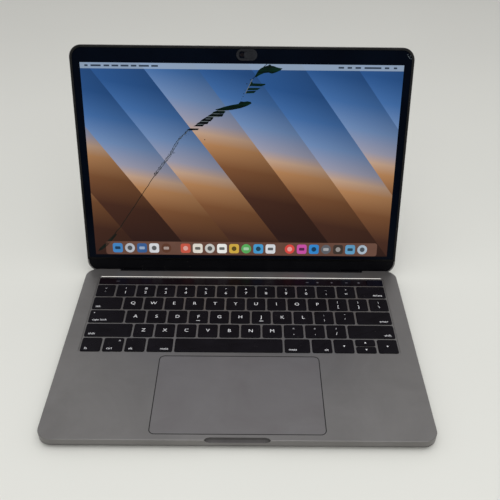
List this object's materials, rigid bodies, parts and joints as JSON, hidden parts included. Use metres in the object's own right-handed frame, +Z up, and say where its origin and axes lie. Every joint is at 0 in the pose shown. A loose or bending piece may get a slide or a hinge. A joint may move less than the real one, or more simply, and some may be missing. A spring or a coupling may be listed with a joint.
{
  "type": "broken laptop",
  "caption": "Thin grey aluminium notebook computer, open, lit display with a crack and a dead streak, black keys, touch strip, trackpad and a stick-on camera shutter.",
  "frame": {"origin": "on the table, under the middle of the open laptop's bounding box", "axes": "+X to the user's right along the hinge, +Y from the front edge towards the hinge, +Z up"},
  "size_m": [0.3042, 0.2754, 0.2099],
  "materials": {
    "grey_aluminium": "bead-blasted, anodised dark grey",
    "key_plastic": "matte black, fingers have polished the middles",
    "black_plastic": "satin black moulding",
    "display_glass": "glossy cover glass, cracked",
    "touch_glass": "black glass, finely etched",
    "trackpad_glass": "grey coated etched glass",
    "lcd_panel": "lit picture with a broken, dead streak",
    "seal_rubber": "black rubber",
    "steel": "bare steel",
    "copper": "copper",
    "circuit_board": "black solder mask",
    "battery_film": "black wrap",
    "inner_plastic": "black moulding"
  },
  "bodies": {
    "base": {"top_case": "grey_aluminium", "bottom_cover": "grey_aluminium", "foot_front_left": "seal_rubber", "foot_front_right": "seal_rubber", "foot_rear_left": "seal_rubber", "foot_rear_right": "seal_rubber", "cover_screw_1": "steel", "cover_screw_2": "steel", "cover_screw_3": "steel", "cover_screw_4": "steel", "cover_screw_5": "steel", "cover_screw_6": "steel", "keyboard": "key_plastic", "touch_strip": "touch_glass", "trackpad_glass": "trackpad_glass", "trackpad_module": "steel", "battery_centre": "battery_film", "battery_left": "battery_film", "battery_right": "battery_film", "logic_board": "circuit_board", "heat_sink": "copper", "audio_jack": "inner_plastic", "fan_housing_left": "inner_plastic", "fan_housing_right": "inner_plastic", "speaker_left": "inner_plastic", "speaker_right": "inner_plastic", "usb_pair_left": "steel", "usb_pair_right": "steel", "hinge_bracket_left": "steel", "hinge_bracket_right": "steel"},
    "lid": {"lid_shell": "grey_aluminium", "display_glass": "display_glass", "lid_gasket": "seal_rubber", "display_panel": "lcd_panel", "camera_module": "circuit_board", "hinge_cover": "black_plastic", "hinge_arm_left": "steel", "hinge_arm_right": "steel", "webcam_cover": "black_plastic"},
    "webcam_shutter": {"webcam_shutter": "black_plastic"},
    "power_button": {"power_button": "touch_glass"},
    "key_space": {"key_space": "key_plastic"},
    "key_fn": {"key_fn": "key_plastic"},
    "key_ctrl": {"key_ctrl": "key_plastic"},
    "key_alt_left": {"key_alt_left": "key_plastic"},
    "key_meta_left": {"key_meta_left": "key_plastic"},
    "key_meta_right": {"key_meta_right": "key_plastic"},
    "key_alt_right": {"key_alt_right": "key_plastic"},
    "key_arrow_left": {"key_arrow_left": "key_plastic"},
    "key_arrow_down": {"key_arrow_down": "key_plastic"},
    "key_arrow_up": {"key_arrow_up": "key_plastic"},
    "key_arrow_right": {"key_arrow_right": "key_plastic"},
    "key_shift_left": {"key_shift_left": "key_plastic"},
    "key_shift_right": {"key_shift_right": "key_plastic"},
    "key_caps_lock": {"key_caps_lock": "key_plastic"},
    "key_enter": {"key_enter": "key_plastic"},
    "key_tab": {"key_tab": "key_plastic"},
    "key_delete": {"key_delete": "key_plastic"},
    "fan_rotor_left": {"fan_rotor_left": "inner_plastic"},
    "fan_rotor_right": {"fan_rotor_right": "inner_plastic"}
  },
  "joints": [
    {"name": "lid_hinge", "type": "hinge", "parent": "base", "child": "lid", "pos_m": [0, 0.07265, 0.0087], "axis": [-1, 0, 0], "range_deg": [-106.2, 24]},
    {"name": "webcam_shutter_slide", "type": "slide", "parent": "lid", "child": "webcam_shutter", "axis": [-1, 0, 0], "range_m": [0, 0.0054]},
    {"name": "power_button_press", "type": "slide", "parent": "base", "child": "power_button", "axis": [0, 0, -1], "range_m": [0, 0.00025], "stiffness_N_per_m": 2000, "springref_m": -0.0003},
    {"name": "key_space_press", "type": "slide", "parent": "base", "child": "key_space", "axis": [0, 0, -1], "range_m": [0, 0.00055], "stiffness_N_per_m": 500, "springref_m": -0.0006},
    {"name": "key_fn_press", "type": "slide", "parent": "base", "child": "key_fn", "axis": [0, 0, -1], "range_m": [0, 0.00055], "stiffness_N_per_m": 500, "springref_m": -0.0006},
    {"name": "key_ctrl_press", "type": "slide", "parent": "base", "child": "key_ctrl", "axis": [0, 0, -1], "range_m": [0, 0.00055], "stiffness_N_per_m": 500, "springref_m": -0.0006},
    {"name": "key_alt_left_press", "type": "slide", "parent": "base", "child": "key_alt_left", "axis": [0, 0, -1], "range_m": [0, 0.00055], "stiffness_N_per_m": 500, "springref_m": -0.0006},
    {"name": "key_meta_left_press", "type": "slide", "parent": "base", "child": "key_meta_left", "axis": [0, 0, -1], "range_m": [0, 0.00055], "stiffness_N_per_m": 500, "springref_m": -0.0006},
    {"name": "key_meta_right_press", "type": "slide", "parent": "base", "child": "key_meta_right", "axis": [0, 0, -1], "range_m": [0, 0.00055], "stiffness_N_per_m": 500, "springref_m": -0.0006},
    {"name": "key_alt_right_press", "type": "slide", "parent": "base", "child": "key_alt_right", "axis": [0, 0, -1], "range_m": [0, 0.00055], "stiffness_N_per_m": 500, "springref_m": -0.0006},
    {"name": "key_arrow_left_press", "type": "slide", "parent": "base", "child": "key_arrow_left", "axis": [0, 0, -1], "range_m": [0, 0.00055], "stiffness_N_per_m": 500, "springref_m": -0.0006},
    {"name": "key_arrow_down_press", "type": "slide", "parent": "base", "child": "key_arrow_down", "axis": [0, 0, -1], "range_m": [0, 0.00055], "stiffness_N_per_m": 500, "springref_m": -0.0006},
    {"name": "key_arrow_up_press", "type": "slide", "parent": "base", "child": "key_arrow_up", "axis": [0, 0, -1], "range_m": [0, 0.00055], "stiffness_N_per_m": 500, "springref_m": -0.0006},
    {"name": "key_arrow_right_press", "type": "slide", "parent": "base", "child": "key_arrow_right", "axis": [0, 0, -1], "range_m": [0, 0.00055], "stiffness_N_per_m": 500, "springref_m": -0.0006},
    {"name": "key_shift_left_press", "type": "slide", "parent": "base", "child": "key_shift_left", "axis": [0, 0, -1], "range_m": [0, 0.00055], "stiffness_N_per_m": 500, "springref_m": -0.0006},
    {"name": "key_shift_right_press", "type": "slide", "parent": "base", "child": "key_shift_right", "axis": [0, 0, -1], "range_m": [0, 0.00055], "stiffness_N_per_m": 500, "springref_m": -0.0006},
    {"name": "key_caps_lock_press", "type": "slide", "parent": "base", "child": "key_caps_lock", "axis": [0, 0, -1], "range_m": [0, 0.00055], "stiffness_N_per_m": 500, "springref_m": -0.0006},
    {"name": "key_enter_press", "type": "slide", "parent": "base", "child": "key_enter", "axis": [0, 0, -1], "range_m": [0, 0.00055], "stiffness_N_per_m": 500, "springref_m": -0.0006},
    {"name": "key_tab_press", "type": "slide", "parent": "base", "child": "key_tab", "axis": [0, 0, -1], "range_m": [0, 0.00055], "stiffness_N_per_m": 500, "springref_m": -0.0006},
    {"name": "key_delete_press", "type": "slide", "parent": "base", "child": "key_delete", "axis": [0, 0, -1], "range_m": [0, 0.00055], "stiffness_N_per_m": 500, "springref_m": -0.0006},
    {"name": "fan_left_spin", "type": "hinge", "parent": "base", "child": "fan_rotor_left", "pos_m": [-0.092, 0.03325, 0.005], "axis": [0, 0, 1], "continuous": true},
    {"name": "fan_right_spin", "type": "hinge", "parent": "base", "child": "fan_rotor_right", "pos_m": [0.092, 0.03325, 0.005], "axis": [0, 0, 1], "continuous": true}
  ]
}
